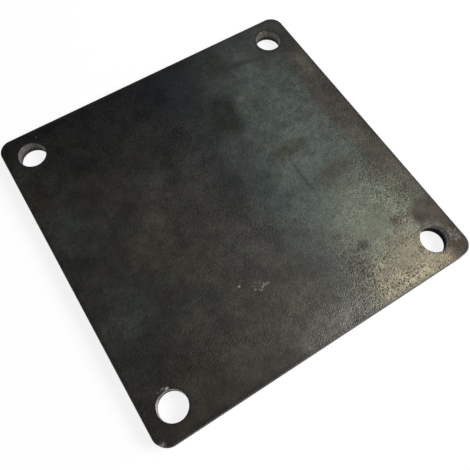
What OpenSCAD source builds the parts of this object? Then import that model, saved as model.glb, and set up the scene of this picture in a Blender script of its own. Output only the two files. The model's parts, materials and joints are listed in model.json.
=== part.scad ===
// Square base plate, laser-cut from hot-rolled steel sheet, with rounded corners
// and a clear bolt hole near each corner. The origin is the middle of the
// underside, and +Z goes up through the thickness.

/* [Plate] */
// Length of the plate along X
plate_length = 150; // [80:1:300]
// Width of the plate along Y
plate_width = 150; // [80:1:300]
// Thickness of the rolled sheet
plate_thickness = 6; // [3:0.5:20]
// Radius of the plate's corners, seen from above
corner_radius = 6; // [2:0.5:16]
// Width of the 45 degree break along the edges of the outline
outline_break = 0.3; // [0.1:0.05:1]

/* [Bolt holes] */
// Diameter of each bolt hole
hole_diameter = 12; // [6:0.5:18]
// Distance from an edge of the plate to the middle of the nearest hole
hole_edge_distance = 12; // [9:0.5:30]
// Width of the 45 degree break round the rims of the holes
hole_break = 0.2; // [0.1:0.05:1]

/* [Hidden] */
$fn = 96;

// How far a hole's cutter runs past each face of the plate
overrun = 1;
// Where the corner arcs are struck from
corner_x = plate_length / 2 - corner_radius;
corner_y = plate_width / 2 - corner_radius;
// Where the holes are drilled
hole_x = plate_length / 2 - hole_edge_distance;
hole_y = plate_width / 2 - hole_edge_distance;
hole_radius = hole_diameter / 2;

// Section of the plate from the line at reach 0 out to a cut edge,
// with the break at the bottom and top of that edge
function section_to_edge(reach) = [
    [0, 0],
    [reach - outline_break, 0],
    [reach, outline_break],
    [reach, plate_thickness - outline_break],
    [reach - outline_break, plate_thickness],
    [0, plate_thickness],
];

// Half of a hole's cutter: straight through, and opening at 45 degrees at both rims
function hole_section() = [
    [0, -overrun],
    [hole_radius + hole_break + overrun, -overrun],
    [hole_radius, hole_break],
    [hole_radius, plate_thickness - hole_break],
    [hole_radius + hole_break + overrun, plate_thickness + overrun],
    [0, plate_thickness + overrun],
];

// One copy in each quarter of the plate, mirrored about its two middle lines
module in_each_quarter(x, y) {
    for (flip_x = [0, 1], flip_y = [0, 1])
        mirror([flip_x, 0, 0])
            mirror([0, flip_y, 0])
                translate([x, y, 0])
                    children();
}

// Straight length of plate between two rounded corners, cut on both sides
module straight_run(half_width, length) {
    rotate([90, 0, 0])
        linear_extrude(height = length, center = true)
            for (flip = [0, 1])
                mirror([flip, 0])
                    polygon(section_to_edge(half_width));
}

module rounded_corner() {
    rotate_extrude(angle = 90)
        polygon(section_to_edge(corner_radius));
}

module bolt_hole() {
    rotate_extrude()
        polygon(hole_section());
}

module base_plate() {
    color([0.24, 0.235, 0.225])
        difference() {
            union() {
                straight_run(plate_length / 2, 2 * corner_y);
                rotate([0, 0, 90])
                    straight_run(plate_width / 2, 2 * corner_x);
                in_each_quarter(corner_x, corner_y)
                    rounded_corner();
            }
            in_each_quarter(hole_x, hole_y)
                bolt_hole();
        }
}

base_plate();
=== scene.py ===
# A square base plate of laser-cut, hot-rolled steel, lying flat on a pale floor.
import json
import math

import bpy
import numpy as np
from mathutils import Matrix, Vector
from mathutils.geometry import delaunay_2d_cdt


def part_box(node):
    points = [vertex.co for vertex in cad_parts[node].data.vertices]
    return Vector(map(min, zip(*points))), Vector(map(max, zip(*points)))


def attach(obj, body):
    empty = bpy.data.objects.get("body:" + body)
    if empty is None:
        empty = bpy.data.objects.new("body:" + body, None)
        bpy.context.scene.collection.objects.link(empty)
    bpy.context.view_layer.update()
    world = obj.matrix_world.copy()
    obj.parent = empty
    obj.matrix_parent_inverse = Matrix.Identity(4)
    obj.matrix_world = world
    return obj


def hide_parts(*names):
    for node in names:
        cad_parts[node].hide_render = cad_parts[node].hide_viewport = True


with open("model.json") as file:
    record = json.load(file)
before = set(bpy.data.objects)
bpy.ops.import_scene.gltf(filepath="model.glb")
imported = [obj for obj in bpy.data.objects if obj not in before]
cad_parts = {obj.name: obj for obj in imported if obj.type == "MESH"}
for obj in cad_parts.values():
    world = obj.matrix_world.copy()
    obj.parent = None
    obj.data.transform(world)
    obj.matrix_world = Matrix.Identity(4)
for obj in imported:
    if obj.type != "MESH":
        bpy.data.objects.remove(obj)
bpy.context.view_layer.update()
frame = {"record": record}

# Base plate
# The plate is one square of 6 mm hot-rolled sheet steel. A laser cuts the outline and the
# bolt holes, which leaves fine upright streaks on the walls and a small dulled arris, while
# both faces keep the uneven, heat-tinted skin of mill scale from the rolling mill.
MM = 0.001
plate_low, plate_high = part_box("base_plate")
plate_thickness = plate_high.z - plate_low.z
hole_dims = next(m for m in frame["record"]["mounts"] if m["name"] == "bolt_holes")["dims"]
hole_radius = hole_dims["hole_r_mm"] * MM
hole_x = hole_dims["spacing_x_mm"] * MM / 2
hole_y = hole_dims["spacing_y_mm"] * MM / 2
hole_centres = [(x, y) for x in (-hole_x, hole_x) for y in (-hole_y, hole_y)]
corner_radius = 6 * MM
outline_arris = 0.3 * MM
hole_arris = 0.2 * MM


# Base plate: the cut walls, as strips of quads from the top face round the arris to the underside
station_pitch = 0.25 * MM
wall_rows = 6
face_margin = 0.12 * MM


def outline_stations():
    """Places along the cut outline, anticlockwise, and the direction out of the steel at each."""
    arc_x, arc_y = plate_high.x - corner_radius, plate_high.y - corner_radius
    arc_steps = round(corner_radius * math.pi / 2 / station_pitch)
    signs = [(1, 1), (-1, 1), (-1, -1), (1, -1)]
    places, outward = [], []
    for quarter, (sign_x, sign_y) in enumerate(signs):
        struck_from = np.array([sign_x * arc_x, sign_y * arc_y])
        for step in range(arc_steps):
            angle = (quarter + step / arc_steps) * math.pi / 2
            direction = np.array([math.cos(angle), math.sin(angle)])
            places.append(struck_from + corner_radius * direction)
            outward.append(direction)
        angle = (quarter + 1) * math.pi / 2
        direction = np.array([math.cos(angle), math.sin(angle)])
        next_x, next_y = signs[(quarter + 1) % len(signs)]
        start = struck_from + corner_radius * direction
        end = np.array([next_x * arc_x, next_y * arc_y]) + corner_radius * direction
        run_steps = round(float(np.linalg.norm(end - start)) / station_pitch)
        for step in range(run_steps):
            places.append(start + (end - start) * step / run_steps)
            outward.append(direction)
    return np.array(places), np.array(outward)


def hole_stations(centre):
    """Places round a bolt hole, clockwise, and the direction out of the steel at each."""
    steps = round(2 * math.pi * hole_radius / station_pitch)
    angles = -2 * math.pi * np.arange(steps) / steps
    around = np.stack([np.cos(angles), np.sin(angles)], axis=1)
    return np.array(centre) + hole_radius * around, -around


def wall_section(arris):
    """Rows of a cut wall from the top face to the underside, as inset from the wall and height."""
    turn = np.radians([0, 45, 90])
    inset = arris * (1 - np.sin(turn))
    drop = arris * (1 - np.cos(turn))
    margin = [arris + face_margin]
    flank = np.linspace(plate_high.z - arris, plate_low.z + arris, wall_rows + 2)[1:-1]
    insets = np.concatenate([margin, inset, np.zeros(wall_rows), inset[::-1], margin])
    top_rows, low_rows = plate_high.z - drop, plate_low.z + drop[::-1]
    heights = np.concatenate([[plate_high.z], top_rows, flank, low_rows, [plate_low.z]])
    return insets, heights


cuts = [(*outline_stations(), outline_arris)]
cuts += [(*hole_stations(centre), hole_arris) for centre in hole_centres]
vertices, polygons, on_wall, in_hole, along_cut = [], [], [], [], []
top_loops, low_loops = [], []
for places, outward, arris in cuts:
    first = sum(len(block) for block in vertices)
    insets, heights = wall_section(arris)
    stations, rows = len(places), len(insets)
    block = np.empty((stations, rows, 3))
    block[:, :, :2] = places[:, None, :] - outward[:, None, :] * insets[None, :, None]
    block[:, :, 2] = heights
    vertices.append(block.reshape(-1, 3))
    on_wall.append(np.tile(np.clip(1 - insets / arris, 0, 1), stations))
    in_hole.append(np.full(stations * rows, float(arris == hole_arris)))
    run = np.stack([-outward[:, 1], outward[:, 0], 0 * outward[:, 0]], axis=1)
    along_cut.append(np.repeat(run, rows, axis=0))
    here = first + np.arange(stations) * rows
    following = np.roll(here, -1)
    for row in range(rows - 1):
        corners = [here + row, here + row + 1, following + row + 1, following + row]
        polygons += np.stack(corners, axis=1).tolist()
    top_loops.append(here)
    low_loops.append(here + rows - 1)


# Base plate: the two faces, as nets of triangles between the cut loops, finer where rust has pitted
# the top face. Each pitted field has its centre and reach in mm, and its strength
face_pitch = 1.4 * MM
pitted_pitch = 0.33 * MM
pitted_from = 0.12
jitter_share = 0.3
clear_of_cut = 0.75 * MM
net_seed = 11
same_place = 1e-9
field_rim = 1.15
pitted_fields = [
    ((29, -58), (11, 19), 1.0),
    ((42, -70), (23, 7), 0.85),
    ((46, -57), (12, 6), 0.7),
    ((54, -64), (4, 5), 0.75),
    ((57, -47), (6, 6), 1.0),
    ((59, -27), (8, 20), 0.9),
    ((65, -39), (6, 8), 0.8),
    ((70, -66), (5, 7), 0.8),
]


def gap_to_cut(places):
    """Distance in from the nearest cut edge, of places on a face; negative outside the steel."""
    past_arc = np.abs(places) - (np.array([plate_high.x, plate_high.y]) - corner_radius)
    outside = np.linalg.norm(np.maximum(past_arc, 0), axis=1) + np.minimum(past_arc.max(axis=1), 0)
    gaps = [corner_radius - outside]
    for centre in hole_centres:
        gaps.append(np.linalg.norm(places - np.array(centre), axis=1) - hole_radius)
    return np.min(gaps, axis=0)


def pitting(places):
    """Share of pitting at places on the top face: 1 in the middle of a pitted field, 0 outside."""
    share = np.zeros(len(places))
    for centre, reach, strength in pitted_fields:
        away = np.linalg.norm((places / MM - np.array(centre)) / np.array(reach), axis=1)
        share = np.maximum(share, strength * np.clip(field_rim - away, 0, 1))
    return share


def scattered_grid(pitch, draws):
    """Places of a jittered square grid over the face, clear of the cut edges."""
    lines = [np.arange(-high + pitch / 2, high, pitch) for high in (plate_high.x, plate_high.y)]
    grid = np.stack(np.meshgrid(*lines), axis=-1).reshape(-1, 2)
    grid += draws.uniform(-1, 1, grid.shape) * jitter_share * pitch
    return grid[gap_to_cut(grid) > min(clear_of_cut, pitch)]


def face_net(loops, inner):
    """Triangles between the cut loops and the inner places, anticlockwise from above."""
    rim = np.concatenate(vertices)[np.concatenate(loops)][:, :2]
    places = np.concatenate([rim, inner])
    edges, start = [], 0
    for loop in loops:
        ids = start + np.arange(len(loop))
        edges += np.stack([ids, np.roll(ids, -1)], axis=1).tolist()
        start += len(loop)
    net = delaunay_2d_cdt([Vector(place) for place in places], edges, [], 0, same_place)
    source = np.array([sources[0] for sources in net[3]])
    triangles = source[np.array(net[2])]
    triangles = triangles[gap_to_cut(places[triangles].mean(axis=1)) > hole_arris]
    side_a = places[triangles[:, 1]] - places[triangles[:, 0]]
    side_b = places[triangles[:, 2]] - places[triangles[:, 0]]
    clockwise = side_a[:, 0] * side_b[:, 1] - side_a[:, 1] * side_b[:, 0] < 0
    triangles[clockwise] = triangles[clockwise][:, ::-1]
    return triangles


draws = np.random.default_rng(net_seed)
coarse = scattered_grid(face_pitch, draws)
fine = scattered_grid(pitted_pitch, draws)
sound = coarse[pitting(coarse) <= pitted_from]
pitted = fine[pitting(fine) > pitted_from]
for loops, inner, height, order in (
    (top_loops, np.concatenate([sound, pitted]), plate_high.z, 1),
    (low_loops, coarse, plate_low.z, -1),
):
    triangles = face_net(loops, inner)
    first = sum(len(block) for block in vertices)
    vertices.append(np.column_stack([inner, np.full(len(inner), height)]))
    on_wall.append(np.zeros(len(inner)))
    in_hole.append(np.zeros(len(inner)))
    along_cut.append(np.zeros((len(inner), 3)))
    ids = np.concatenate([np.concatenate(loops), first + np.arange(len(inner))])
    polygons += ids[triangles][:, ::order].tolist()

vertices = np.concatenate(vertices)
on_top = vertices[:, 2] > plate_high.z - hole_arris / 2
plate_mesh = bpy.data.meshes.new("steel_plate")
plate_mesh.from_pydata(vertices.tolist(), [], polygons)
plate_mesh.shade_smooth()
for name, kind, key, values in (
    ("on_wall", "FLOAT", "value", np.concatenate(on_wall)),
    ("in_hole", "FLOAT", "value", np.concatenate(in_hole)),
    ("cut_gap", "FLOAT", "value", np.maximum(gap_to_cut(vertices[:, :2]), 0)),
    ("cut_depth", "FLOAT", "value", (plate_high.z - vertices[:, 2]) / plate_thickness),
    ("pitting", "FLOAT", "value", on_top * pitting(vertices[:, :2])),
    ("along_cut", "FLOAT_VECTOR", "vector", np.concatenate(along_cut)),
):
    layer = plate_mesh.attributes.new(name, kind, "POINT")
    layer.data.foreach_set(key, values.astype(np.float32).ravel())
steel_plate = bpy.data.objects.new("steel_plate", plate_mesh)
bpy.context.scene.collection.objects.link(steel_plate)


# Base plate: node helpers for its relief and its two finishes
noise_middle = 0.5


def node(tree, kind, inputs=None, **settings):
    """A new node; each input takes a plain value or another node's output."""
    made = tree.nodes.new(kind)
    for name, value in settings.items():
        setattr(made, name, value)
    for key, value in (inputs or {}).items():
        if isinstance(value, bpy.types.NodeSocket):
            tree.links.new(value, made.inputs[key])
        else:
            made.inputs[key].default_value = value
    return made


def maths(tree, operation, *values):
    """One sum on numbers."""
    return node(tree, "ShaderNodeMath", dict(enumerate(values)), operation=operation).outputs[0]


def vectors(tree, operation, *values):
    """One sum on vectors; SCALE takes its factor last."""
    keys = (0, 3) if operation == "SCALE" else range(len(values))
    made = node(tree, "ShaderNodeVectorMath", dict(zip(keys, values)), operation=operation)
    return made.outputs["Value" if operation in ("LENGTH", "DOT_PRODUCT") else "Vector"]


def spread(tree, value, low, high, to_low=0.0, to_high=1.0):
    """Eases from to_low to to_high as the value goes from low to high, and stops there."""
    limits = {"Value": value, "From Min": low, "From Max": high, "To Min": to_low, "To Max": to_high}
    return node(tree, "ShaderNodeMapRange", limits, interpolation_type="SMOOTHSTEP").outputs[0]


def noise(tree, place, size, detail=2.0, roughness=0.5, output=0):
    """Cloudy noise whose blotches are about as wide as size, in the units of place."""
    values = {"Vector": place, "Scale": 1 / size, "Detail": detail, "Roughness": roughness}
    return node(tree, "ShaderNodeTexNoise", values).outputs[output]


# Base plate: relief of the cut walls and the rolled faces, all of it inwards from the cut size
streak_pitch = 0.8 * MM
streak_depth = 0.05 * MM
streak_lag = 1.2 * MM
lag_power = 2.0
streak_height = 9 * MM
roll_wave = 4 * MM
roll_depth = 0.012 * MM
roll_margin = (0.6 * MM, 2.5 * MM)
pit_size = 0.5 * MM
pit_depth = 0.12 * MM
pits_per_m2 = 2100000.0
pit_cluster_size = 4 * MM
pit_cluster_edge = (0.4, 0.6)
pit_cluster_shares = (0.45, 1.0)
pit_crowding_power = 1.5
pit_field_edge = (0.02, 0.1)
pit_size_shares = (0.3, 1.0)
pit_wobble_size = 1 * MM
pit_wobble_share = 1.4
pit_edge = (0.5, 0.95)
knock_place = (-73.3 * MM, -73.3 * MM, plate_high.z - 0.6 * MM)
knock_reach = 2.4 * MM
knock_depth = 0.45 * MM
knock_edge = (0.2, 1.0)
knock_face_share = 0.25
cut_finish_from = 0.25
relief_seed = 7

relief = bpy.data.node_groups.new("cut_and_rolled_relief", "GeometryNodeTree")
relief.interface.new_socket("Geometry", in_out="OUTPUT", socket_type="NodeSocketGeometry")
relief.interface.new_socket("Geometry", in_out="INPUT", socket_type="NodeSocketGeometry")
relief_values = {
    "Streak Pitch": ("NodeSocketFloat", streak_pitch),
    "Streak Depth": ("NodeSocketFloat", streak_depth),
    "Streak Lag": ("NodeSocketFloat", streak_lag),
    "Streak Height": ("NodeSocketFloat", streak_height),
    "Roll Wave": ("NodeSocketFloat", roll_wave),
    "Roll Depth": ("NodeSocketFloat", roll_depth),
    "Pit Size": ("NodeSocketFloat", pit_size),
    "Pit Depth": ("NodeSocketFloat", pit_depth),
    "Pit Density": ("NodeSocketFloat", pits_per_m2),
    "Knock Place": ("NodeSocketVector", knock_place),
    "Knock Reach": ("NodeSocketFloat", knock_reach),
    "Knock Depth": ("NodeSocketFloat", knock_depth),
    "Seed": ("NodeSocketInt", relief_seed),
    "Face Finish": ("NodeSocketMaterial", bpy.data.materials.new("mill_scale")),
    "Cut Finish": ("NodeSocketMaterial", bpy.data.materials.new("laser_cut")),
}
for name, (kind, value) in relief_values.items():
    relief.interface.new_socket(name, in_out="INPUT", socket_type=kind)


def named(name, kind="FLOAT"):
    """A value that the mesh carries at each of its points."""
    return node(relief, "GeometryNodeInputNamedAttribute", {"Name": name}, data_type=kind).outputs[0]


def store(geometry, name, value):
    """Keeps a value on the mesh for its finishes."""
    inputs = {"Geometry": geometry, "Name": name, "Value": value}
    return node(relief, "GeometryNodeStoreNamedAttribute", inputs).outputs[0]


given = node(relief, "NodeGroupInput").outputs
position = node(relief, "GeometryNodeInputPosition").outputs[0]
normal = node(relief, "GeometryNodeInputNormal").outputs[0]

# The streaks lean back along the cut as the beam lags behind, more so towards the underside
lag_share = maths(relief, "POWER", named("cut_depth"), lag_power)
lean = maths(relief, "MULTIPLY", lag_share, given["Streak Lag"])
cut_run = named("along_cut", "FLOAT_VECTOR")
leaning = vectors(relief, "ADD", position, vectors(relief, "SCALE", cut_run, lean))
streak_cell = node(relief, "ShaderNodeCombineXYZ", {
    0: given["Streak Pitch"], 1: given["Streak Pitch"], 2: given["Streak Height"],
}).outputs[0]
streak_place = vectors(relief, "DIVIDE", leaning, streak_cell)
streak = noise(relief, streak_place, 1, detail=3, roughness=0.6)
streak_cut = maths(relief, "MULTIPLY", streak, named("on_wall"))
streak_cut = maths(relief, "MULTIPLY", streak_cut, given["Streak Depth"])

# The rolled skin is gently uneven away from the cuts
roll_place = vectors(relief, "SCALE", position, maths(relief, "DIVIDE", 1.0, given["Roll Wave"]))
roll = noise(relief, roll_place, 1, detail=2)
inside = spread(relief, named("cut_gap"), *roll_margin)
roll_dip = maths(relief, "MULTIPLY", maths(relief, "MULTIPLY", roll, inside), given["Roll Depth"])

# Rust pits are scattered over the pitted fields, each a shallow cup of its own size
clusters = noise(relief, position, pit_cluster_size)
clusters = spread(relief, clusters, *pit_cluster_edge, *pit_cluster_shares)
crowding = maths(relief, "POWER", named("pitting"), pit_crowding_power)
crowding = maths(relief, "MULTIPLY", clusters, crowding)
pit_points = node(relief, "GeometryNodeDistributePointsOnFaces", {
    "Mesh": given["Geometry"],
    "Density": maths(relief, "MULTIPLY", crowding, given["Pit Density"]),
    "Seed": given["Seed"],
}).outputs[0]
nearest = node(relief, "GeometryNodeSampleNearest", {"Geometry": pit_points}).outputs[0]
least, most = pit_size_shares
own_share = node(relief, "FunctionNodeRandomValue", {
    2: least, 3: most, "Seed": given["Seed"],
}).outputs[1]
pit_share = node(relief, "GeometryNodeSampleIndex", {
    "Geometry": pit_points, "Value": own_share, "Index": nearest,
}).outputs[0]
to_pits = node(relief, "GeometryNodeProximity", {0: pit_points}, target_element="POINTS")
pit_away = to_pits.outputs["Distance"]
pit_radius = maths(relief, "MULTIPLY", pit_share, given["Pit Size"])
pit_wobble = noise(relief, position, pit_wobble_size, detail=1)
pit_wobble = maths(relief, "SUBTRACT", pit_wobble, noise_middle)
pit_wobble = maths(relief, "MULTIPLY", pit_wobble, pit_wobble_share)
pit_near = maths(relief, "ADD", maths(relief, "DIVIDE", pit_away, pit_radius), pit_wobble)
pit = spread(relief, pit_near, *pit_edge, 1.0, 0.0)
pit = maths(relief, "MULTIPLY", pit, spread(relief, named("pitting"), *pit_field_edge))
pit_dip = maths(relief, "MULTIPLY", maths(relief, "MULTIPLY", pit, pit_share), given["Pit Depth"])

# The near corner has taken a knock, which dented its arris
knock_away = vectors(relief, "LENGTH", vectors(relief, "SUBTRACT", position, given["Knock Place"]))
knock_ring = maths(relief, "DIVIDE", knock_away, given["Knock Reach"])
knock = spread(relief, knock_ring, *knock_edge, 1.0, 0.0)
knock_share = spread(relief, named("on_wall"), 0.0, 1.0, knock_face_share, 1.0)
knock = maths(relief, "MULTIPLY", knock, knock_share)
knock_dip = maths(relief, "MULTIPLY", knock, given["Knock Depth"])

# All dips go in along the normal, and the finishes get the streaks and pits as values
kept = store(store(given["Geometry"], "streak", streak), "pit", pit)
made_dip = maths(relief, "ADD", streak_cut, roll_dip)
worn_dip = maths(relief, "ADD", pit_dip, knock_dip)
dip = maths(relief, "ADD", made_dip, worn_dip)
inwards = vectors(relief, "SCALE", normal, maths(relief, "MULTIPLY", dip, -1.0))
moved = node(relief, "GeometryNodeSetPosition", {"Geometry": kept, "Offset": inwards}).outputs[0]
whole = node(relief, "GeometryNodeRealizeInstances", {"Geometry": moved}).outputs[0]
faced = node(relief, "GeometryNodeSetMaterial", {
    "Geometry": whole, "Material": given["Face Finish"],
}).outputs[0]
at_cut = maths(relief, "GREATER_THAN", named("on_wall"), cut_finish_from)
finished = node(relief, "GeometryNodeSetMaterial", {
    "Geometry": faced, "Selection": at_cut, "Material": given["Cut Finish"],
}).outputs[0]
node(relief, "NodeGroupOutput", {"Geometry": finished})

carving = steel_plate.modifiers.new("relief", "NODES")
carving.node_group = relief
for socket in relief.interface.items_tree:
    if socket.name in relief_values:
        carving[socket.identifier] = relief_values[socket.name][1]
evaluated = steel_plate.evaluated_get(bpy.context.evaluated_depsgraph_get())
carved = bpy.data.meshes.new_from_object(evaluated)
steel_plate.modifiers.remove(carving)
carved.name = "steel_plate"
steel_plate.data = carved


# Base plate: effects that both finishes share
def tone(red, green, blue):
    """A tone from its 0 to 255 screen values, as a linear colour."""
    shares = np.array([red, green, blue]) / 255
    linear = np.where(shares <= 0.04045, shares / 12.92, ((shares + 0.055) / 1.055) ** 2.4)
    return (*linear.tolist(), 1.0)


def mixed(tree, share, under, over, blend="MIX"):
    """Lays one colour over another, by a share from 0 to 1."""
    inputs = {0: share, 6: under, 7: over}
    return node(tree, "ShaderNodeMix", inputs, data_type="RGBA", blend_type=blend).outputs[2]


def carried(tree, name):
    """A value that the relief left on the mesh."""
    return node(tree, "ShaderNodeAttribute", attribute_name=name).outputs["Fac"]


def effect(name, inputs, outputs):
    """An empty shader node group with named inputs, their first values, and outputs."""
    tree = bpy.data.node_groups.new(name, "ShaderNodeTree")
    for label, (kind, value) in inputs.items():
        socket = tree.interface.new_socket(label, in_out="INPUT", socket_type=kind)
        socket.default_value = value
    for label, kind in outputs.items():
        tree.interface.new_socket(label, in_out="OUTPUT", socket_type=kind)
    return tree, node(tree, "NodeGroupInput").outputs


def placed(tree, group, inputs, label=""):
    """An effect set into a finish with its own values."""
    return node(tree, "ShaderNodeGroup", inputs, node_tree=group, label=label).outputs


# Soft patch: a soft-edged patch on the steel, from round to nearly square, with a ragged rim. It lays
# stains, and painted light and shade as well
soft_patch, given = effect("soft_patch", {
    "Place": ("NodeSocketVector", (0, 0, 0)),
    "Centre": ("NodeSocketVector", (0, 0, 0)),
    "Reach": ("NodeSocketVector", (10, 10, 1)),
    "Turn": ("NodeSocketFloat", 0.0),
    "Edge": ("NodeSocketFloat", 0.5),
    "Squareness": ("NodeSocketFloat", 0.0),
}, {"Mask": "NodeSocketFloat"})
away = vectors(soft_patch, "SUBTRACT", given["Place"], given["Centre"])
turned = node(soft_patch, "ShaderNodeVectorRotate", {
    "Vector": vectors(soft_patch, "MULTIPLY", away, (1, 1, 0)),
    "Angle": maths(soft_patch, "MULTIPLY", given["Turn"], -1.0),
}, rotation_type="Z_AXIS").outputs[0]
shares = vectors(soft_patch, "DIVIDE", turned, given["Reach"])
round_ring = vectors(soft_patch, "LENGTH", shares)
square_ring = maths(soft_patch, "SQRT", vectors(soft_patch, "LENGTH", vectors(soft_patch, "MULTIPLY", shares, shares)))
squarer = maths(soft_patch, "SUBTRACT", square_ring, round_ring)
squarer = maths(soft_patch, "MULTIPLY", squarer, given["Squareness"])
ring = maths(soft_patch, "ADD", round_ring, squarer)
edge_in = maths(soft_patch, "SUBTRACT", 1.0, given["Edge"])
edge_out = maths(soft_patch, "ADD", 1.0, given["Edge"])
node(soft_patch, "NodeGroupOutput", {"Mask": spread(soft_patch, ring, edge_in, edge_out, 1.0, 0.0)})


def covered_by(tree, along, name, centre, reach, edge, squareness=0.0, turn=0.0):
    """The share that a named patch covers; its centre and reach in mm, its turn in degrees."""
    return placed(tree, soft_patch, {
        "Place": along,
        "Centre": (*centre, 0),
        "Reach": (*reach, 1),
        "Turn": math.radians(turn),
        "Edge": edge,
        "Squareness": squareness,
    }, name)["Mask"]


# Grain: the fine speckle of the oxide, as a factor on the colour and as a height. Each speckle has
# its size in mm, its detail and how much it stands up
grain, given = effect("grain", {
    "Place": ("NodeSocketVector", (0, 0, 0)),
    "Coarse": ("NodeSocketFloat", 0.3),
    "Middle": ("NodeSocketFloat", 0.3),
    "Fine": ("NodeSocketFloat", 0.3),
}, {"Factor": "NodeSocketFloat", "Height": "NodeSocketFloat"})
speckles = [
    ("Coarse", 3.2, 2.0, 0.2),
    ("Middle", 1.1, 1.0, 0.45),
    ("Fine", 0.5, 0.0, 1.0),
]
factor, height = 1.0, 0.0
for label, size, detail, raised in speckles:
    swing = noise(grain, given["Place"], size, detail)
    swing = maths(grain, "SUBTRACT", swing, noise_middle)
    swing = maths(grain, "MULTIPLY", swing, given[label])
    factor = maths(grain, "ADD", factor, swing)
    height = maths(grain, "ADD", height, maths(grain, "MULTIPLY", swing, raised))
node(grain, "NodeGroupOutput", {"Factor": maths(grain, "MAXIMUM", factor, 0.0), "Height": height})


def finish(name):
    """A material's tree, its shader, and places on the plate in millimetres."""
    material = bpy.data.materials[name]
    material.use_nodes = True
    tree = material.node_tree
    metres = node(tree, "ShaderNodeTexCoord").outputs["Object"]
    return tree, tree.nodes["Principled BSDF"], vectors(tree, "SCALE", metres, 1 / MM)


def summed(tree, value, changes):
    """Adds to a value each mask times its own change."""
    for mask, change in changes:
        value = maths(tree, "ADD", value, maths(tree, "MULTIPLY", mask, change))
    return value


# Mill scale: the thin blue-black oxide skin of hot-rolled steel, tinted by heat, with a pale front
# corner that is partly dust and partly painted reflection, a right half and front edge lightened partly
# by painted sheen, brown rust down the right side, smudges and a few bare nicks
scale_ior = 1.55
drift_size, drift_reach = 11, 9
fray_size, fray_reach = 2.4, 3.2
smudge_drift_share = 0.4
mark_fray_share = 0.5
top_from, top_to = 0.4 * plate_thickness / MM, 0.6 * plate_thickness / MM
tree, shader, place = finish("mill_scale")
drift = noise(tree, place, drift_size, output=1)
drift = vectors(tree, "SUBTRACT", drift, (noise_middle,) * 3)
fray = noise(tree, place, fray_size, detail=3, roughness=0.65, output=1)
fray = vectors(tree, "SUBTRACT", fray, (noise_middle,) * 3)
frayed = vectors(tree, "ADD", place, vectors(tree, "SCALE", fray, fray_reach))
drifted = vectors(tree, "ADD", frayed, vectors(tree, "SCALE", drift, drift_reach))
smeared = vectors(tree, "ADD", frayed, vectors(tree, "SCALE", drift, drift_reach * smudge_drift_share))
ragged = vectors(tree, "ADD", place, vectors(tree, "SCALE", fray, fray_reach * mark_fray_share))
on_top = spread(tree, vectors(tree, "DOT_PRODUCT", place, (0, 0, 1)), top_from, top_to)

# The skin is clouded light and dark, with tufts of brown and blue
cloud_size, cloud_edge = 16, (0.35, 0.65)
tuft_size, tuft_shift = 8, (40, 15, 0)
brown_edge, brown_share = (0.5, 0.72), 0.5
blue_edge, blue_share = (0.48, 0.3), 0.4
dark_skin, pale_skin = tone(40, 39, 36), tone(51, 48, 43)
brown_tuft, blue_tuft = tone(46, 41, 35), tone(43, 46, 45)
clouds = noise(tree, place, cloud_size)
tufts = noise(tree, vectors(tree, "ADD", place, tuft_shift), tuft_size)
skin = mixed(tree, spread(tree, clouds, *cloud_edge), dark_skin, pale_skin)
skin = mixed(tree, spread(tree, tufts, *brown_edge, 0.0, brown_share), skin, brown_tuft)
skin = mixed(tree, spread(tree, tufts, *blue_edge, 0.0, blue_share), skin, blue_tuft)

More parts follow.
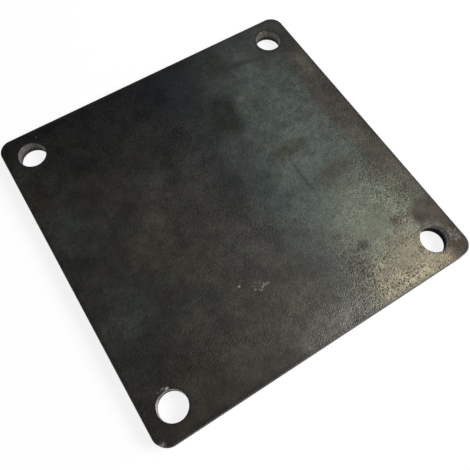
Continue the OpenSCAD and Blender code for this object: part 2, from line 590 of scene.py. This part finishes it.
# Each patch has its centre and reach in mm, turn in degrees, edge, squareness, colour and strength
tints_and_painted_sheen = [
    ("dark back", (-20, 84), (78, 46), 0, 0.75, 0, (10, 9, 9), 0.95),
    ("back rim", (-14, 79), (74, 12), 0, 0.6, 0.5, (6, 6, 6), 0.95),
    ("blue-black", (-1, 68), (15, 20), 0, 0.6, 0, (4, 5, 11), 0.9),
    ("pale front", (8, -82), (60, 46), 0, 0.75, 0, (82, 76, 67), 0.66),
    # Painted highlight: the bright front edge is partly paler scale and partly a painted sheen of the
    # light along the edge
    ("bright front edge", (18, -76), (24, 11), 0, 0.7, 0, (114, 109, 101), 0.72),
    ("warm middle", (-28, -8), (24, 22), 0, 0.7, 0, (58, 53, 46), 0.5),
    ("grey-green left", (-66, 0), (14, 45), 0, 0.6, 0, (40, 40, 36), 0.5),
    ("dull front left", (-56, -66), (28, 24), 0, 0.7, 0, (41, 36, 29), 0.7),
    ("grey bloom", (-3, 25), (9, 9), 0, 0.7, 0, (46, 45, 44), 0.25),
    ("blue band", (9, 38), (9, 42), -10, 0.7, 0, (30, 34, 38), 0.6),
    # Painted reflection: the teal field and its cores are partly the oxide's own blue-green tint and
    # partly a painted reflection of light from the right
    ("teal field", (41, 8), (25, 64), -6, 0.5, 0.5, (70, 76, 72), 0.95),
    ("teal core", (49, 2), (12, 17), 0, 0.7, 0, (96, 102, 91), 0.35),
    ("teal middle", (46, 32), (12, 9), 0, 0.7, 0, (79, 85, 80), 0.4),
    ("teal front", (39, -25), (22, 22), 0, 0.7, 0, (89, 97, 87), 0.54),
    ("grey-green front", (52, -45), (22, 20), 0, 0.6, 0, (119, 122, 104), 0.73),
    ("grey front", (23, -62), (10, 12), 0, 0.7, 0, (102, 100, 91), 0.4),
    ("plum front", (-26, -63), (12, 10), 0, 0.7, 0, (74, 67, 61), 0.3),
    ("warm grey middle", (-6, -26), (9, 12), 0, 0.7, 0, (68, 65, 60), 0.5),
    # Painted reflection: the straw and cream stains at the front right corner are partly pale dust and
    # partly a painted reflection of the light that falls most strongly on that corner
    ("straw corner", (51, -71), (21, 17), 0, 0.6, 0, (136, 128, 104), 0.85),
    ("straw core", (42, -74), (16, 9), 0, 0.6, 0, (172, 162, 135), 0.9),
    ("straw patch", (50, -60), (9, 7), 0, 0.6, 0, (133, 126, 103), 0.5),
    ("cream patch", (37, -64), (7, 7), 0, 0.6, 0, (142, 132, 112), 0.5),
    ("teal left margin", (17, 5), (7, 36), -6, 0.7, 0, (48, 58, 59), 0.5),
    ("brown strip", (72, 22), (10, 52), 0, 0.5, 0.5, (56, 50, 41), 0.85),
    ("dusty strip", (69, -28), (7, 21), 0, 0.6, 0, (82, 75, 58), 0.5),
    ("pale right edge", (72, 42), (5, 12), 0, 0.6, 0, (76, 70, 61), 0.75),
    ("dark right edge", (72, 22), (4, 6), 0, 0.6, 0, (34, 33, 27), 0.75),
    ("dusty patch", (66, -4), (5, 6), 0, 0.6, 0, (86, 80, 66), 0.6),
]
smudges = [
    ("orange tarnish", (59, -71.5), (8, 4), 0, 0.6, 0, (122, 100, 66), 0.3),
    ("orange spot", (64, -73), (3.5, 1.8), 0, 0.6, 0, (150, 114, 72), 0.35),
    ("pitted shade", (27, -60), (5, 11), 0, 0.6, 0, (82, 81, 68), 0.5),
    ("olive smudge", (20.5, 37), (7, 10), -22, 0.35, 0.5, (25, 26, 22), 0.92),
    ("olive foot", (18, 28.5), (10, 4), 0, 0.5, 0, (34, 35, 30), 0.7),
    ("olive back", (33, 64), (6, 9), 0, 0.6, 0, (32, 32, 28), 0.65),
    ("dark teal back", (20, 58), (6, 9), 0, 0.6, 0, (30, 33, 34), 0.5),
    ("brown by the back hole", (58, 58), (8, 10), 0, 0.6, 0, (44, 42, 37), 0.6),
    ("crescent", (36, 6), (9, 3), 0, 0.5, 0, (58, 59, 47), 0.75),
    ("crescent tail", (29, 4), (2.5, 5), 0, 0.5, 0, (58, 59, 47), 0.5),
    ("brown smear", (47, -14.5), (10.5, 4), 6, 0.6, 0, (62, 59, 48), 0.85),
    ("pale seam", (60, 8), (2.2, 26), 0, 0.8, 0.5, (86, 87, 76), 0.25),
    ("dark back left", (-48.5, 48.5), (8.5, 5), -45, 0.6, 0, (17, 18, 16), 0.95),
    ("dark back middle", (-32, 56), (8, 5), 0, 0.6, 0, (20, 21, 19), 0.75),
    ("plum back", (-15, 67), (6, 6), 0, 0.6, 0, (32, 27, 30), 0.5),
    ("brown left edge", (-69, 41), (4, 4), 0, 0.6, 0, (42, 37, 28), 0.7),
    ("olive haze", (-19, 46), (10, 8), 0, 0.6, 0, (36, 36, 32), 0.4),
    ("dark knot", (-8, 36), (7, 10), 0, 0.7, 0, (22, 22, 20), 0.72),
    ("brown knot", (-53, 26), (6, 7), 0, 0.6, 0, (33, 30, 26), 0.75),
    ("pale left middle", (-27, 22), (12, 9), 0, 0.75, 0, (54, 52, 48), 0.5),
    ("pale green left", (-64, 20), (6, 10), 0, 0.6, 0, (48, 50, 46), 0.6),
    ("dark left edge", (-69, 3), (6, 4), 0, 0.6, 0, (28, 29, 28), 0.65),
    ("warm spot", (-31, 5), (6, 4), 0, 0.6, 0, (62, 56, 48), 0.55),
    ("blue-green left", (-62, -28), (10, 10), 0, 0.6, 0, (53, 57, 55), 0.62),
    ("dim patch", (-38, -45), (11, 7), 0, 0.75, 0, (42, 40, 36), 0.5),
    ("brown behind the back hole", (70, 57), (5, 7), 0, 0.6, 0, (36, 33, 25), 0.7),
    ("olive low left", (-65, -43), (9, 9), 0, 0.6, 0, (37, 36, 30), 0.65),
    ("dark streak left", (-46, -30.5), (12, 2.2), 0, 0.6, 0, (39, 39, 35), 0.5),
    ("plum front left", (-46, -66), (10, 10), 0, 0.6, 0, (56, 48, 43), 0.45),
]
small_marks = [
    ("left spot", (35.9, -49.5), (2.4, 2), 0, 0.5, 0, (58, 58, 44), 0.95),
    ("right spot", (54.2, -47.9), (2.2, 1.8), 0, 0.5, 0, (72, 66, 50), 0.9),
    ("small spot", (16.5, -45), (1.2, 1.4), 0, 0.5, 0, (54, 54, 50), 0.7),
    ("second small spot", (29, -41), (2, 1.6), 0, 0.5, 0, (68, 68, 56), 0.6),
    ("dark line", (44.5, 57.6), (12, 1.2), -8, 0.8, 0, (36, 36, 33), 0.6),
    ("upright line", (33, -10), (0.6, 11), 0, 0.6, 1, (56, 58, 52), 0.6),
]
rust_blooms = [
    ("red-brown bloom", (66, 17), (4.5, 9), 0, 0.6, 0, (58, 46, 38), 0.75),
    ("second red-brown bloom", (68, 5), (4.5, 4.5), 0, 0.6, 0, (62, 51, 42), 0.7),
    ("brown bloom", (70.5, -16), (4, 6), 0, 0.6, 0, (62, 56, 43), 0.75),
    ("red-brown spot", (70.5, -25), (3, 3), 0, 0.6, 0, (76, 62, 50), 0.45),
    ("second red-brown spot", (67, -38), (3, 2.5), 0, 0.6, 0, (86, 69, 53), 0.5),
    ("brown edge", (74, -60), (5, 16), 0, 0.4, 0, (62, 54, 43), 0.95),
    ("rusty corner", (73, -70), (7, 7), 0, 0.5, 0, (57, 46, 31), 0.95),
    ("low brown bloom", (69.5, -51), (8.5, 6), 0, 0.3, 0, (62, 52, 40), 0.95),
]
patchy_size, patchy_shift, patchy_edge = 4.5, (7, 90, 0), (0.25, 0.75)
thin_share, thick_share = 0.78, 1.18
patchy = vectors(tree, "ADD", place, patchy_shift)
patchy = noise(tree, patchy, patchy_size, detail=4, roughness=0.65)
patchy = spread(tree, patchy, *patchy_edge, thin_share, thick_share)


def laid_on_skin(skin, along, name, centre, reach, turn, edge, squareness, colour, strength):
    """Lays one named patch of colour over the skin of the top face, stains and painted sheen alike;
    also gives the share that it covers.
    """
    mask = covered_by(tree, along, name, centre, reach, edge, squareness, turn)
    share = maths(tree, "MULTIPLY", maths(tree, "MULTIPLY", mask, strength), patchy)
    share = maths(tree, "MULTIPLY", maths(tree, "MINIMUM", share, 1.0), on_top)
    return mixed(tree, share, skin, tone(*colour)), share


for tint in tints_and_painted_sheen:
    skin, covered = laid_on_skin(skin, drifted, *tint)
for smudge in smudges:
    skin, covered = laid_on_skin(skin, smeared, *smudge)
for mark in small_marks:
    skin, covered = laid_on_skin(skin, ragged, *mark)
rust = 0.0
for bloom in rust_blooms:
    skin, covered = laid_on_skin(skin, smeared, *bloom)
    rust = maths(tree, "MAXIMUM", covered, rust)

# The heat of the cut darkened a narrow band beside each edge, less so by the front right hole
band_size, band_width, band_edge, band_share = 6, 2, 1.2, 0.45
faded_share = 0.7
band_colour = tone(30, 30, 31)
cut_gap = maths(tree, "DIVIDE", carried(tree, "cut_gap"), MM)
band_reach = maths(tree, "MULTIPLY", noise(tree, place, band_size, detail=3), band_width)
past_band = maths(tree, "SUBTRACT", cut_gap, band_reach)
band = spread(tree, past_band, 0.0, band_edge, band_share, 0.0)
faded = covered_by(tree, place, "faded band", (56, -65), (8, 9), 0.4)
band_left = maths(tree, "SUBTRACT", 1.0, maths(tree, "MULTIPLY", faded, faded_share))
skin = mixed(tree, maths(tree, "MULTIPLY", band, band_left), skin, band_colour)

# Faint green and plum clouds lie over the whole skin
cast_size, cast_shift, cast_share = 12, (-30, 60, 0), 0.8
plum_edge, plum_cast = (0.48, 0.68), (1.03, 1.0, 0.97, 1.0)
green_edge, green_cast = (0.52, 0.32), (0.94, 1.02, 0.98, 1.0)
cast = noise(tree, vectors(tree, "ADD", place, cast_shift), cast_size, detail=1)
for edge, colour in ((plum_edge, plum_cast), (green_edge, green_cast)):
    share = spread(tree, cast, *edge, 0.0, cast_share)
    skin = mixed(tree, share, skin, colour, blend="MULTIPLY")

# The skin is blotchy, but for an even patch in the teal. Each blotch has its size and shift in mm,
# its detail, the limits of its noise and the factors on the colour there
even_share = 0.6
blotches = [
    (9, (12, -35, 0), 3.0, (0.3, 0.7), (0.77, 1.14)),
    (4, (-80, 20, 0), 2.0, (0.32, 0.6), (0.8, 1.06)),
]
even = covered_by(tree, drifted, "even patch", (40, -34), (26, 22), 0.6)
blotchy = maths(tree, "SUBTRACT", 1.0, maths(tree, "MULTIPLY", even, even_share))
for size, shift, detail, limits, factors in blotches:
    blotch = noise(tree, vectors(tree, "ADD", place, shift), size, detail)
    skin = mixed(tree, blotchy, skin, spread(tree, blotch, *limits, *factors), blend="MULTIPLY")

# Damp roughened the grain towards the front right corner, and handling rubbed the front edge bright.
# Each patch has its centre and reach in mm, and its change in the strength of the grain
damp_from, damp_to = -40, 70
dry_grain, damp_grain = 0.86, 1.1
patch_edge = 0.6
grain_weights = {"Coarse": 0.6, "Middle": 1.3, "Fine": 1.4}
front_right = (math.sqrt(0.5), -math.sqrt(0.5), 0)
grain_patches = [
    ("calm green", (46, -45), (9, 6), -0.5),
    ("calm straw", (48, -60), (6, 6), -0.5),
    ("calm brown", (69, -51), (7, 5), -0.5),
    ("calm teal", (32, -8), (16, 32), -0.25),
    ("calm left", (-52, -10), (20, 40), -0.3),
    ("calm front left", (-40, -74), (36, 12), -0.6),
    ("calm front middle", (-2, -47), (30, 18), -0.32),
    ("calm band", (18, 6), (6, 18), -0.2),
    ("calm back right", (38, 52), (12, 14), -0.3),
    ("calm corner", (46, -68), (12, 6), -0.25),
    ("grainy middle", (-3, 34), (9, 22), 0.55),
    ("grainy front", (23, -68), (11, 9), 0.2),
    ("grainy right strip", (68, 0), (8, 50), 0.2),
    ("grainy back left", (-30, 58), (36, 14), 0.25),
]
across = vectors(tree, "DOT_PRODUCT", place, front_right)
weathered = spread(tree, across, damp_from, damp_to, dry_grain, damp_grain)
for name, centre, reach, change in grain_patches:
    mask = covered_by(tree, smeared, name, centre, reach, patch_edge)
    weathered = maths(tree, "MULTIPLY", weathered, summed(tree, 1.0, [(mask, change)]))
rubbed = covered_by(tree, drifted, "rubbed front", (16, -72), (18, 11), patch_edge)
weights = {
    label: maths(tree, "MULTIPLY", weathered, weight) for label, weight in grain_weights.items()
}
speckle = placed(tree, grain, {"Place": place, **weights})
skin = mixed(tree, 1.0, skin, speckle["Factor"], blend="MULTIPLY")

# Rust fills the pits, some of it redder, and flecks the steel between them
fleck_size, fleck_edge, fleck_share = 0.85, (0.56, 0.64), 0.8
red_size, red_edge, red_share = 1.8, (0.52, 0.62), 0.5
pit_cover = 0.95
fleck_rust, brown_rust, red_rust = tone(54, 49, 31), tone(64, 55, 33), tone(90, 62, 40)
pit = carried(tree, "pit")
pitted = carried(tree, "pitting")
flecks = spread(tree, noise(tree, place, fleck_size, roughness=0.6), *fleck_edge)
flecks = maths(tree, "MULTIPLY", flecks, pitted)
skin = mixed(tree, maths(tree, "MULTIPLY", flecks, fleck_share), skin, fleck_rust)
reddened = spread(tree, noise(tree, place, red_size, detail=1), *red_edge, 0.0, red_share)
pit_rust = mixed(tree, reddened, brown_rust, red_rust)
skin = mixed(tree, maths(tree, "MULTIPLY", pit, pit_cover), skin, pit_rust)

# A few nicks show bare steel, whole or broken into bits. Each has its centre and reach in mm, the
# share that is broken and its strength
bare_marks = [
    ("dot", (-17.8, -37.3), (0.6, 0.55), 0.0, 0.46),
    ("grit", (-8.3, -42.1), (2.2, 0.7), 0.7, 0.58),
    ("lower grit", (-10.9, -43.2), (0.8, 0.5), 0.5, 0.45),
    ("left grit", (-13, -41.9), (0.8, 0.45), 0.6, 0.4),
    ("scattered grit", (-10, -41), (3.2, 1.8), 1.0, 0.34),
    ("rim nick", (-61.8, -56.5), (0.7, 0.55), 0.0, 0.95),
    ("rim specks", (-63.9, -56.2), (1.7, 1.2), 1.0, 0.28),
    ("corner chip", (-73, -73), (1.6, 1.4), 0.8, 0.65),
    ("scratch", (-37, -33.2), (6.5, 0.25), 0.9, 0.13),
    ("corner specks", (71.2, -65.5), (2.6, 3.2), 0.9, 0.65),
    ("back speck", (-57.8, 70.6), (0.5, 0.45), 0.0, 0.12),
]
bit_size, bit_edge = 1.2, (0.54, 0.62)
mark_edge = 0.4
bare_steel = tone(172, 165, 152)
bits = spread(tree, noise(tree, place, bit_size, roughness=0.7), *bit_edge)
for name, centre, reach, broken, strength in bare_marks:
    mark = covered_by(tree, place, name, centre, reach, mark_edge)
    left = maths(tree, "ADD", maths(tree, "MULTIPLY", bits, broken), 1.0 - broken)
    shown = maths(tree, "MULTIPLY", on_top, strength)
    share = maths(tree, "MULTIPLY", maths(tree, "MULTIPLY", mark, left), shown)
    skin = mixed(tree, share, skin, bare_steel)

# The skin has a low sheen, which rust and pits take away, and the grain stands up a little
sheen_edge, smooth_skin, rough_skin = (0.3, 0.7), 0.36, 0.44
rubbed_lift, pit_lift = 0.3, -0.4
scale_bump, scale_bump_height = 0.8, 0.12 * MM
rough = spread(tree, tufts, *sheen_edge, smooth_skin, rough_skin)
rough = summed(tree, rough, [
    (pitted, 0.06), (pit, 0.45), (flecks, 0.25), (rubbed, -0.02), (rust, 0.4),
])
raised = summed(tree, 1.0, [(rubbed, rubbed_lift)])
lift = maths(tree, "MULTIPLY", speckle["Height"], raised)
lift = summed(tree, lift, [(pit, pit_lift)])
bump = node(tree, "ShaderNodeBump", {
    "Strength": scale_bump, "Distance": scale_bump_height, "Height": lift,
})
tree.links.new(skin, shader.inputs["Base Color"])
tree.links.new(rough, shader.inputs["Roughness"])
tree.links.new(bump.outputs[0], shader.inputs["Normal"])
shader.inputs["IOR"].default_value = scale_ior

# Laser-cut wall: bare steel burnt grey-brown, streaked where the beam cut, and with painted shade that
# darkens it towards the lower rim. The front run is dull and darker at its left, and the walls of the
# holes are drawn more sharply
hair_size, hair_stretch = 0.32, (1, 1, 14)
streak_share, hair_share = 0.45, 0.55
hole_contrast = 0.7
line_edge = (0.36, 0.64)
dark_streak, pale_streak = tone(78, 74, 68), tone(109, 105, 97)
burnt_size, burnt_edge, burnt_share, burnt_brown = 7, (0.42, 0.62), 0.4, tone(90, 83, 73)
flare_size, flare_stretch, flare_edge = 1.9, (1, 1, 5), (0.5, 0.66)
flare_share, flare_brown = 0.3, tone(58, 53, 47)
rim_edge, rim_shade_share, rim_waver, rim_shade = (0.42, 0.9), 0.88, 0.25, tone(20, 18, 16)
tree, shader, place = finish("laser_cut")
streak = carried(tree, "streak")
depth = carried(tree, "cut_depth")
hairs = noise(tree, vectors(tree, "DIVIDE", place, hair_stretch), hair_size, roughness=0.6)
lines = summed(tree, maths(tree, "MULTIPLY", streak, streak_share), [(hairs, hair_share)])
drawn = summed(tree, 1.0, [(carried(tree, "in_hole"), hole_contrast)])
lines = maths(tree, "MULTIPLY", maths(tree, "SUBTRACT", lines, noise_middle), drawn)
lines = maths(tree, "ADD", lines, noise_middle)
wall = mixed(tree, spread(tree, lines, *line_edge), dark_streak, pale_streak)
burnt = noise(tree, place, burnt_size, detail=3, roughness=0.6)
wall = mixed(tree, spread(tree, burnt, *burnt_edge, 0.0, burnt_share), wall, burnt_brown)
flares = vectors(tree, "DIVIDE", place, flare_stretch)
flares = noise(tree, flares, flare_size, roughness=0.6)
flares = maths(tree, "MULTIPLY", spread(tree, flares, *flare_edge), flare_share)
wall = mixed(tree, flares, wall, flare_brown)
# Painted shade: the wall is darkened towards its lower rim, where shade falls
rim_start = summed(tree, depth, [(maths(tree, "SUBTRACT", streak, noise_middle), rim_waver)])
wall = mixed(tree, spread(tree, rim_start, *rim_edge, 0.0, rim_shade_share), wall, rim_shade)

# Four places differ: the lower wall of the front right hole and part of the back left hole's wall carry
# painted shade, part of the front left hole's wall is lightened as painted light, and the left of the
# front run is darker
right_hole_shade_edge, right_hole_shade_share, right_hole_shade_colour = (0.15, 0.6), 0.95, tone(24, 20, 19)
back_hole_shade_share, back_hole_shade_colour = 0.75, tone(36, 32, 28)
lit_hole_share, lit_hole_colour = 0.75, tone(164, 160, 152)
front_left_dark_share, front_left_dark = 0.8, tone(34, 31, 28)
# Painted shade: the lower wall of the front right hole, which faces away from the softbox, is darkened
# almost to black
right_hole_shade = covered_by(tree, place, "shaded front right hole", (66, -62), (7, 9), 0.3)
right_hole_shaded = maths(tree, "MULTIPLY", right_hole_shade, spread(tree, depth, *right_hole_shade_edge, 0.0, right_hole_shade_share))
wall = mixed(tree, right_hole_shaded, wall, right_hole_shade_colour)
# Painted shade: part of the back left hole's wall is darkened where it lies in shade
back_hole_shade = covered_by(tree, place, "shaded back left hole", (-57.5, 65.5), (4, 4), 0.5)
wall = mixed(tree, maths(tree, "MULTIPLY", back_hole_shade, back_hole_shade_share), wall, back_hole_shade_colour)
# Painted light: part of the front left hole's wall, which faces the softbox, is lightened
lit_hole_wall = covered_by(tree, place, "lit front left hole", (-69, -62), (3, 5), 0.5)
wall = mixed(tree, maths(tree, "MULTIPLY", lit_hole_wall, lit_hole_share), wall, lit_hole_colour)
front = covered_by(tree, place, "front run", (0, -75), (90, 2), 0.3, squareness=1.0)
# The left of the front run is darker
darker_front_left = covered_by(tree, place, "darker front left run", (-60, -75), (60, 8), 0.6)
darker_front_left = maths(tree, "MULTIPLY", maths(tree, "MULTIPLY", darker_front_left, front), front_left_dark_share)
wall = mixed(tree, darker_front_left, wall, front_left_dark)

# The cut is half metal under its burn, shinier along the pale streaks and dull on the front run
cut_grain_weights = {"Coarse": 0.3, "Middle": 0.4, "Fine": 0.3}
dull_cut, bright_cut = 0.52, 0.4
low_edge, low_dulling = (0.35, 0.85), 0.3
cut_metal, front_metal_change = 0.5, -0.4
cut_bump, cut_bump_height = 0.5, 0.05 * MM
speckle = placed(tree, grain, {"Place": place, **cut_grain_weights})
wall = mixed(tree, 1.0, wall, speckle["Factor"], blend="MULTIPLY")
rough = spread(tree, lines, *line_edge, dull_cut, bright_cut)
rough = summed(tree, rough, [(right_hole_shaded, 0.4), (front, 0.3)])
rough = maths(tree, "ADD", rough, spread(tree, depth, *low_edge, 0.0, low_dulling))
metal = summed(tree, cut_metal, [(front, front_metal_change)])
lift = maths(tree, "ADD", speckle["Height"], lines)
bump = node(tree, "ShaderNodeBump", {
    "Strength": cut_bump, "Distance": cut_bump_height, "Height": lift,
})
tree.links.new(wall, shader.inputs["Base Color"])
tree.links.new(rough, shader.inputs["Roughness"])
tree.links.new(metal, shader.inputs["Metallic"])
tree.links.new(bump.outputs[0], shader.inputs["Normal"])

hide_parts("base_plate")
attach(steel_plate, "root")


# Floor
# A wide sheet of white paper board lies under the plate. It carries the plate's soft shadow, and
# part of its white is its own, so that it stays white where the studio light falls off.
floor_half = 4.0
floor_white = (0.16, 0.16, 0.16, 1.0)
floor_roughness = 0.9
floor_glow = 0.86
far_glow = 0.985
fall_off = (0.13, 0.6)
floor_corners = [(x * floor_half, y * floor_half, 0) for x, y in ((-1, -1), (1, -1), (1, 1), (-1, 1))]
floor_mesh = bpy.data.meshes.new("floor")
floor_mesh.from_pydata(floor_corners, [], [(0, 1, 2, 3)])
floor = bpy.data.objects.new("floor", floor_mesh)
bpy.context.scene.collection.objects.link(floor)
floor_paint = bpy.data.materials.new("floor_paint")
floor_paint.use_nodes = True
tree = floor_paint.node_tree
shader = tree.nodes["Principled BSDF"]
shader.inputs["Base Color"].default_value = floor_white
shader.inputs["Roughness"].default_value = floor_roughness
shader.inputs["Emission Color"].default_value = (1.0, 1.0, 1.0, 1.0)
ray = node(tree, "ShaderNodeLightPath").outputs
seen = maths(tree, "MAXIMUM", ray["Is Camera Ray"], ray["Is Glossy Ray"])
seen = maths(tree, "MAXIMUM", seen, ray["Is Transmission Ray"])
away = vectors(tree, "LENGTH", node(tree, "ShaderNodeTexCoord").outputs["Object"])
glow = spread(tree, away, *fall_off, floor_glow, far_glow)
tree.links.new(maths(tree, "MULTIPLY", seen, glow), shader.inputs["Emission Strength"])
floor_mesh.materials.append(floor_paint)


# Studio light
# A white wall stands all round at the horizon under a dark ceiling. One softbox at the right of
# the picture gives the light, and a dim greenish panel beside it tints the plate's right half.
wall_top = 0.16
ceiling_from = 0.5
ceiling_level = 0.02
world = bpy.data.worlds.new("studio")
bpy.context.scene.world = world
world.use_nodes = True
tree = world.node_tree
direction = node(tree, "ShaderNodeTexCoord").outputs["Generated"]
rise = node(tree, "ShaderNodeSeparateXYZ", {0: direction}).outputs["Z"]
level = spread(tree, rise, wall_top, ceiling_from, 1.0, ceiling_level)
tree.links.new(level, tree.nodes["Background"].inputs["Color"])


def softbox(name, place, aim, width, height, power, colour):
    """A flat rectangular lamp that shines from place towards aim."""
    lamp = bpy.data.lights.new(name, "AREA")
    lamp.shape = "RECTANGLE"
    lamp.size = width
    lamp.size_y = height
    lamp.energy = power
    lamp.color = colour
    holder = bpy.data.objects.new(name, lamp)
    holder.location = place
    holder.rotation_euler = (Vector(aim) - Vector(place)).to_track_quat("-Z", "Y").to_euler()
    bpy.context.scene.collection.objects.link(holder)


softbox(
    "right_softbox", place=(0.75, -0.5, 0.75), aim=(0, 0, 0),
    width=0.6, height=0.6, power=16, colour=(1, 1, 1),
)
softbox(
    "right_panel", place=(0.48, 0.17, 0.6), aim=(0.48, 0.17, 0),
    width=0.53, height=0.75, power=0.6, colour=(0.85, 1.0, 0.97),
)


# Camera
# A close camera looks steeply down over the plate's front left corner, so that the plate lies
# corner-on in the picture with its near corner at the bottom.
camera_place = Vector((-56.43, -89.37, 208.61)) * MM
view_direction = Vector((0.22319, 0.32627, -0.91855))
picture_right = Vector((0.84568, -0.53345, 0.01601))
lens_mm = 40.409
nearest_seen = 10 * MM
picture_up = picture_right.cross(view_direction)
facing = Matrix((picture_right, picture_up, -view_direction)).transposed().to_4x4()
camera = bpy.data.objects.new("camera", bpy.data.cameras.new("camera"))
camera.data.lens = lens_mm
camera.data.clip_start = nearest_seen
camera.matrix_world = Matrix.Translation(camera_place) @ facing
bpy.context.scene.collection.objects.link(camera)
bpy.context.scene.camera = camera
bpy.context.scene.view_settings.view_transform = "Standard"
